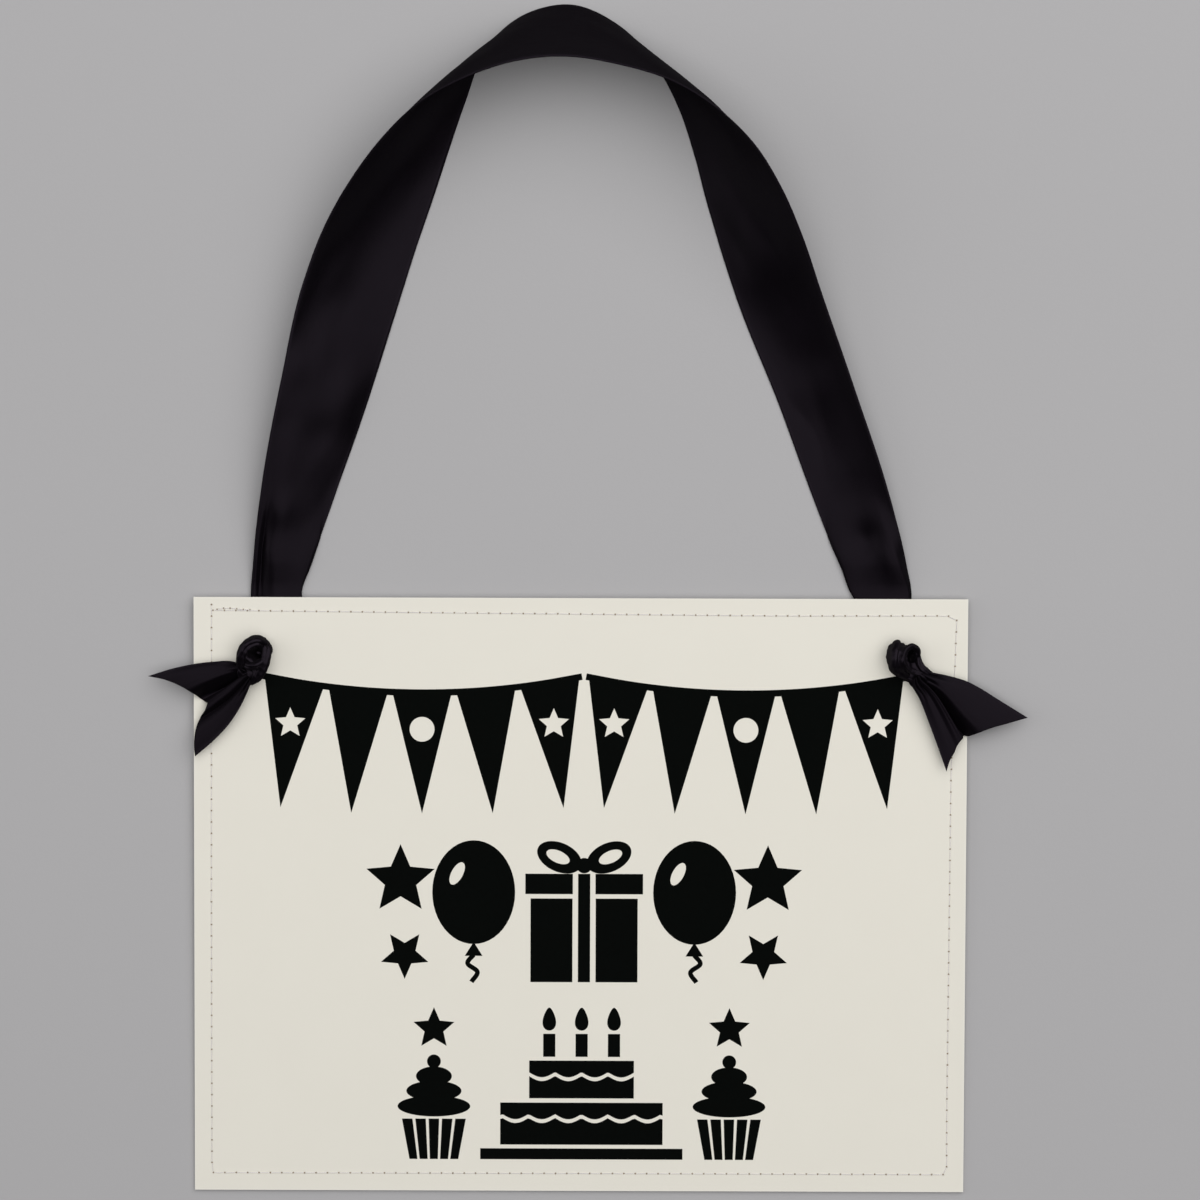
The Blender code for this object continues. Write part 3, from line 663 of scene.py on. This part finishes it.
def makeHanger():
    # Each section is an arch between its two edges. Near the fold line it turns into a row of folds instead,
    # which fade out along the leg. A slow wave and short slanted puckers go on top, then soft round humps
    rows = ribbonSpine()
    outer, inner = rows[:, :3], rows[:, 3:6]
    centre, half = (outer + inner) / 2, (inner - outer) / 2
    normal = unit(np.cross(half, np.gradient(centre, axis=0)))
    u = np.linspace(-1, 1, hanger["across"])
    s = (u + 1) / 2
    tables = [np.array(hanger[key]) for key in ("leftFolds", "rightFolds")]
    left, right = [smoothRows(table[:, 1:], table[:, 0], s) for table in tables]
    beyond = np.maximum(centre[:, 1] - board["foldY"], 0)
    upLeg = np.clip(beyond / hanger["foldStep"], 0, 1)[:, None, None]
    folded = np.where(centre[:, None, None, 0] < 0, left[None], right[None])
    folded = (1 - upLeg) * folded[..., :2] + upLeg * folded[..., 2:]
    weight = 1 - np.clip(beyond / hanger["foldFade"], 0, 1)
    weight = (weight * weight * (3 - 2 * weight))[:, None]
    tall = 0.6 + 0.27 * np.clip((beyond - 2.5) / 8, 0, 1)[:, None]  # the board's edge presses the folds lower
    across = (1 - weight) * u + weight * folded[..., 0]
    across = across / np.where(across < 0, -across.min(axis=1, keepdims=True), across.max(axis=1, keepdims=True))
    up = (1 - weight) * rows[:, 6:7] * (1 - u * u) + weight * tall * folded[..., 1]
    length = alongLengths(centre)
    wave = np.sin(length / 31)[:, None] * np.sin(np.pi * s * 1.5 + length[:, None] / 60)
    wave = hanger["waveHigh"] * wave * (1 - weight)
    chance = np.random.default_rng(hanger["seed"])
    for k in range(hanger["puckers"]):
        place, at, lean, high = chance.uniform(hanger["puckerLeast"], hanger["puckerMost"])
        past = length[:, None] - at
        aside = satin["width"] * (s - place) + lean * past
        wave += high * np.exp(-(aside / hanger["puckerWide"]) ** 2 - (past / hanger["puckerLong"]) ** 2)
    grid = centre[:, None] + half[:, None] * across[..., None] + normal[:, None] * (up + wave)[..., None]
    for x, y, reach, high in hanger["humps"]:
        away = ((grid[..., 0] - x) ** 2 + (grid[..., 1] - y) ** 2) / reach ** 2
        grid[..., 2] += high * np.exp(-away) * (1 - u ** 4)
    grid[..., 2] = np.maximum(grid[..., 2], tableLevel(grid[..., 1]) + hanger["leastLift"])  # stays above the table
    uv = np.stack(np.broadcast_arrays(s * satin["width"], length[:, None]), -1)
    piece = clothPiece("ribbonHanger", grid, uv, satinMaterial)
    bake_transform(piece)
    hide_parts("hanger_loop", "left_back_run", "right_back_run")
    print(f"hanger {length[-1]:.1f} mm from hole to hole")


makeHanger()

print("knots")
knots = {
    "rows": 90, "around": 40, "ridges": 4, "ridgeHigh": 0.42, "rounding": 0.9,
    # Each fold of ribbon, measured from the hole and up from the printed face: x, y, z, half width, half height.
    # The first comes up through the hole, and the last ones fill the knot under the others
    "leftKnot": {"pivot": (-3.2, -4.0, -1.0), "folds": [
        [(0.3, 0.0, -1.4, 2.4, 2.3), (0.4, 0.9, 1.6, 2.5, 2.2), (0.2, 2.5, 4.2, 2.3, 2.0),
         (-2.2, 3.6, 6.3, 2.1, 1.8), (-5.6, 2.0, 7.0, 2.0, 1.7), (-7.6, -1.6, 6.5, 1.9, 1.6),
         (-8.0, -4.9, 5.3, 1.7, 1.4), (-8.8, -7.4, 4.2, 0.8, 0.7)],
        [(-0.8, 2.2, 3.0, 1.0, 1.0), (1.2, 1.4, 4.6, 1.9, 1.6), (1.4, -1.2, 5.6, 1.8, 1.6),
         (0.9, -4.2, 5.8, 1.8, 1.5), (-0.3, -7.3, 5.2, 1.7, 1.4), (-2.4, -10.3, 4.2, 1.5, 1.2),
         (-4.8, -12.2, 3.4, 0.8, 0.7)],
        [(-7.2, -3.4, 4.6, 0.8, 0.8), (-5.2, -5.3, 6.2, 1.3, 1.2), (-2.6, -5.3, 6.9, 1.3, 1.3),
         (-0.2, -3.9, 6.5, 1.2, 1.2), (1.1, -2.4, 5.2, 0.8, 0.8)],
        [(-3.6, -5.4, 5.2, 0.7, 0.7), (-2.7, -8.0, 5.3, 0.9, 0.9), (-3.6, -10.6, 4.6, 0.8, 0.8),
         (-5.2, -12.0, 3.6, 0.4, 0.4)],
        [(-7.2, 0.4, 5.2, 2.2, 0.7), (-5.0, -0.9, 3.4, 3.8, 0.8), (-2.2, -2.1, 1.3, 3.9, 0.8),
         (0.0, -3.2, 0.4, 2.8, 0.7)],
        [(0.4, -1.4, 0.8, 2.0, 0.7), (-2.4, -4.0, 0.9, 3.6, 0.8), (-4.6, -6.6, 2.4, 4.0, 1.8),
         (-6.4, -9.4, 3.2, 4.2, 1.4), (-8.4, -10.6, 3.2, 2.8, 0.8)]]},
    "rightKnot": {"pivot": (4.5, -4.0, -1.0), "folds": [
        [(0.0, 0.0, -1.4, 2.4, 2.3), (0.0, 1.0, 1.6, 2.6, 2.4), (-0.7, 1.9, 4.2, 2.8, 2.4),
         (-1.5, 0.1, 6.4, 2.8, 2.0), (-1.6, -2.8, 6.9, 2.8, 1.9), (-1.0, -5.6, 5.8, 2.5, 1.8),
         (1.2, -7.6, 4.4, 2.0, 1.5), (4.0, -9.0, 3.4, 1.0, 0.9)],
        [(1.9, 1.8, 4.4, 0.9, 0.9), (1.9, 0.6, 6.9, 1.3, 1.3), (1.1, -1.8, 8.2, 1.3, 1.3),
         (1.0, -4.4, 7.6, 1.2, 1.2), (2.2, -6.6, 6.0, 1.0, 1.0), (4.2, -7.8, 4.8, 0.5, 0.5)],
        [(6.9, -1.4, 4.6, 0.8, 0.9), (6.6, 1.1, 6.2, 0.9, 1.1), (4.4, 2.5, 7.4, 0.9, 1.1), (2.2, 0.8, 8.3, 0.8, 1.1),
         (1.7, -2.6, 8.3, 0.8, 1.1), (3.1, -5.6, 7.2, 0.9, 1.0), (5.2, -6.8, 6.2, 1.0, 1.0),
         (7.8, -7.7, 5.5, 1.0, 1.0), (9.7, -9.4, 4.8, 0.9, 0.9), (10.2, -11.4, 4.0, 0.5, 0.5)],
        [(7.2, -0.6, 3.6, 0.8, 0.8), (7.2, -2.6, 4.4, 1.1, 1.2), (7.9, -4.6, 4.6, 1.3, 1.3),
         (10.0, -6.6, 4.4, 1.2, 1.1), (12.0, -7.9, 3.9, 0.7, 0.7)],
        [(0.6, -7.0, 2.6, 0.9, 0.9), (3.0, -8.9, 2.8, 1.3, 1.1), (6.0, -10.4, 2.9, 1.3, 1.0),
         (8.4, -12.4, 2.8, 0.9, 0.7)],
        [(6.6, 1.0, 5.6, 1.7, 0.7), (5.2, -0.6, 4.0, 2.4, 0.8), (3.8, -2.2, 2.4, 2.6, 0.8),
         (2.8, -3.6, 1.8, 2.0, 0.7)],
        [(1.4, 1.6, 2.6, 2.0, 2.0), (3.6, -1.0, 1.6, 3.0, 1.4), (5.6, -5.6, 2.8, 3.4, 1.8),
         (7.6, -8.6, 3.2, 3.9, 1.5), (9.6, -11.0, 3.3, 4.2, 0.9)]]},
}


def foldRings(stations, pivot):
    # One fold of gathered ribbon: an oval carried along a smooth path, its flat side turned away from the
    # knot's pivot, with sharp valleys and round ridges that drift slowly round it; both ends are rounded off
    table = np.array(stations)
    places = alongLengths(table[:, :3])
    rows = smoothRows(table, places, np.linspace(0, places[-1], knots["rows"]))
    ahead = unit(np.gradient(rows[:, :3], axis=0))
    outward = rows[:, :3] - np.array(pivot)
    faceWay = unit(outward - np.sum(outward * ahead, axis=1, keepdims=True) * ahead)
    wideWay = np.cross(ahead, faceWay)
    length = alongLengths(rows[:, :3])
    turn = np.linspace(0, 2 * np.pi, knots["around"], endpoint=False)
    ridge = np.abs(np.sin(knots["ridges"] / 2 * turn + (length / 11)[:, None])) ** 0.75 - 0.6
    ridge = ridge * (0.75 + 0.25 * np.sin(2 * turn + length[:, None] / 5))
    ridge = ridge + 0.12 * np.sin(1.9 * length[:, None] + turn) * np.sin(0.8 * length[:, None] - 2 * turn)
    fromEnd = np.minimum(np.minimum(length, length[-1] - length)[:, None] / knots["rounding"], 1)
    swell = (1 + knots["ridgeHigh"] * ridge) * np.sqrt(np.clip(fromEnd * (2 - fromEnd), 0.02, 1))
    rings = rows[:, None, :3] + wideWay[:, None] * (rows[:, 3, None] * np.cos(turn) * swell)[..., None]
    rings = rings + faceWay[:, None] * (rows[:, 4, None] * np.sin(turn) * swell)[..., None]
    uv = np.stack(np.broadcast_arrays(turn / (2 * np.pi) * satin["width"], length[:, None]), -1)
    return rings, uv


def makeKnot(name, node, side):
    # All the folds of a knot in one mesh, moved to their hole, each closed at both ends
    made = [foldRings(fold, knots[name]["pivot"]) for fold in knots[name]["folds"]]
    hole = np.array([side * board["holeX"], board["holeY"], board["face"]])
    points = np.concatenate([rings for rings, uv in made]) + hole
    around, count = knots["around"], knots["rows"] * knots["around"]
    faces = []
    for index in range(len(made)):
        faces += (ringFaces(knots["rows"], around)[:, ::-1] + index * count).tolist()
        faces += [[index * count + k for k in range(around)], [(index + 1) * count - 1 - k for k in range(around)]]
    piece = meshPiece(name, points, faces, tightSatin, np.concatenate([uv for rings, uv in made]))
    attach(piece, "board")
    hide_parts(node)


makeKnot("leftKnot", "left_knot", -1)
makeKnot("rightKnot", "right_knot", 1)

print("tails")
tails = {
    "rows": 90, "across": 121, "gathers": 5.5, "gatherHigh": 1.1, "gatherFade": 0.35,
    # how far along a tail its folds are given, and how much of their overlap is left there
    "stops": (0.0, 0.35, 0.7, 1.0), "overlap": (1.0, 0.95, 0.75, 0.35), "levelStops": (0.0, 0.45, 1.0),
    "bendFrom": -2.0, "bendTo": 3.0,  # a lift bends the tail from here to here, past the joint
    # first and second are the long edges, cut and cutBack the V from one to the other, level its height above
    # the printed face at the knot, near the middle and at the cut
    "leftTail": {
        "root": (-121.726, 79.78, 4.55), "ahead": (-0.862514, -0.506034, 0.0),
        "first": [(-121.0, 82.9), (-124.3, 84.5), (-133.2, 84.6), (-139.4, 83.8), (-147.2, 82.1), (-155.9, 79.4)],
        "second": [(-118.6, 77.8), (-119.6, 75.2), (-122.0, 69.7), (-124.3, 65.7), (-127.0, 61.9), (-132.5, 56.1),
                   (-139.0, 50.5)],
        "cut": [(-155.9, 79.4), (-149.5, 78.1), (-144.0, 75.9), (-139.0, 72.8), (-136.7, 70.9), (-134.4, 69.8)],
        "cutBack": [(-134.4, 69.8), (-135.1, 67.8), (-137.4, 63.9), (-138.5, 60.9), (-139.2, 56.7), (-139.3, 53.5),
                    (-139.0, 50.5)],
        # share of the ribbon's width, place across the tail, height there at the knot, a third on, two thirds on
        # and at the cut; where the place runs backwards the ribbon laps over itself
        "folds": [(0.0, 0.0, 0.0, 0.0, 0.0, 0.0), (0.1, 0.095, 0.5, 0.8, 0.9, 0.6), (0.2, 0.19, 0.9, 1.3, 1.4, 1.0),
                  (0.29, 0.27, 1.0, 1.7, 1.8, 1.4), (0.335, 0.315, 0.9, 1.7, 1.8, 1.4),
                  (0.36, 0.34, 0.5, 1.2, 1.2, 0.9),
                  (0.42, 0.45, -0.8, -1.9, -2.1, -1.6), (0.445, 0.475, -0.9, -2.0, -2.2, -1.7),
                  (0.475, 0.475, -0.1, -0.6, -0.8, -0.5), (0.505, 0.46, 0.6, 0.7, 0.5, 0.4),
                  (0.56, 0.53, 1.1, 1.6, 1.4, 1.0), (0.62, 0.62, 0.5, 0.7, 0.5, 0.4),
                  (0.655, 0.68, -0.2, -0.5, -0.6, -0.4), (0.7, 0.7, 0.5, 0.4, 0.4, 0.2),
                  (0.76, 0.75, 0.9, 1.2, 1.1, 0.8), (0.88, 0.87, 0.8, 1.2, 1.2, 1.0), (1.0, 1.0, 0.2, 0.6, 0.6, 0.4)],
        "level": (4.3, 2.7, 2.1),
    },
    "rightTail": {
        "root": (123.17, 78.379, 4.55), "ahead": (0.681998, -0.731354, 0.0),
        "first": [(123.6, 82.2), (126.1, 81.7), (134.3, 80.0), (139.4, 78.4), (143.5, 76.3), (150.5, 72.0),
                  (161.3, 65.4)],
        "second": [(119.6, 79.6), (119.9, 76.5), (122.0, 72.4), (125.2, 64.5), (128.5, 55.8), (132.1, 45.9)],
        "cut": [(161.3, 65.4), (153.3, 63.2), (147.3, 61.5), (142.3, 59.5), (139.5, 58.6), (138.6, 58.8)],
        "cutBack": [(138.6, 58.8), (137.7, 57.9), (136.1, 55.8), (135.0, 53.3), (133.2, 49.8), (132.1, 45.9)],
        "folds": [(0.0, 0.0, 0.0, 0.0, 0.0, 0.0), (0.12, 0.12, 0.6, 0.9, 0.9, 0.7), (0.24, 0.25, 1.0, 1.6, 1.6, 1.2),
                  (0.33, 0.37, 1.0, 1.8, 1.8, 1.4), (0.37, 0.42, 0.8, 1.6, 1.6, 1.2), (0.4, 0.46, 0.2, 0.8, 0.8, 0.7),
                  (0.45, 0.56, -0.9, -1.8, -1.9, -1.5), (0.475, 0.595, -1.1, -2.1, -2.1, -1.7),
                  (0.5, 0.585, 0.1, -0.6, -0.7, -0.5), (0.53, 0.54, 1.1, 1.6, 1.5, 1.0),
                  (0.6, 0.58, 1.3, 2.1, 2.0, 1.4), (0.7, 0.68, 0.8, 1.4, 1.4, 1.0),
                  (0.78, 0.77, 1.0, 1.6, 1.6, 1.2), (0.9, 0.895, 0.6, 1.2, 1.3, 1.0), (1.0, 1.0, 0.2, 0.9, 1.0, 0.7)],
        "level": (4.3, 2.7, 2.1),
    },
}


def makeTail(name, node):
    # A patch stretched between four curves: its two long edges, the gathered root and the V cut. The folds are
    # a smooth profile across it, blended from the root's heights through the middle's to the cut's
    tail = tails[name]
    v = np.linspace(0, 1, tails["rows"])
    s = np.linspace(0, 1, tails["across"])
    first, second = smoothCurve(tail["first"], tails["rows"]), smoothCurve(tail["second"], tails["rows"])
    halfCount = (tails["across"] + 1) // 2
    cut = np.vstack([smoothCurve(tail["cut"], halfCount), smoothCurve(tail["cutBack"], halfCount)[1:]])
    folds = np.array(tail["folds"])
    profile = smoothRows(folds[:, 1:], folds[:, 0], s)
    lap = smoothRows(np.array(tails["overlap"])[:, None], tails["stops"], v)
    c = np.clip(s + lap * (profile[:, 0] - s), 0, 1)  # place across, row by row
    cutPlace = np.stack([np.interp(c, s, cut[:, k]) for k in (0, 1)], -1)
    root = first[0] + (second[0] - first[0]) * c[..., None]
    tip = first[-1] + (second[-1] - first[-1]) * c[..., None]
    sides = (1 - c)[..., None] * first[:, None] + c[..., None] * second[:, None]
    plan = sides + (1 - v)[:, None, None] * root + v[:, None, None] * cutPlace
    plan = plan - (1 - v)[:, None, None] * root - v[:, None, None] * tip
    shares = smoothRows(np.eye(4), tails["stops"], v)
    level = smoothRows(np.array(tail["level"])[:, None], tails["levelStops"], v)
    fade = np.clip(1 - v / tails["gatherFade"], 0, 1)[:, None] ** 1.5
    uneven = s + 0.03 * np.sin(5 * np.pi * s)  # no two gathers are as wide
    gather = tails["gatherHigh"] * fade * np.sin(2 * np.pi * tails["gathers"] * uneven) * np.sin(np.pi * s) ** 0.3
    z = board["face"] + level + shares @ profile[:, 1:].T + gather
    grid = np.concatenate([plan, z[..., None]], -1)
    run = alongLengths(first / 2 + second / 2)
    uv = np.stack(np.broadcast_arrays(s * satin["width"], run[:, None]), -1)
    if name == "leftTail":  # its edges run the other way round, and its face has to point up too
        grid, uv = grid[:, ::-1], uv[:, ::-1]
    piece = clothPiece(name, grid, uv, satinMaterial)
    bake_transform(piece)
    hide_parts(node)


makeTail("leftTail", "left_tail")
makeTail("rightTail", "right_tail")

print("finished")
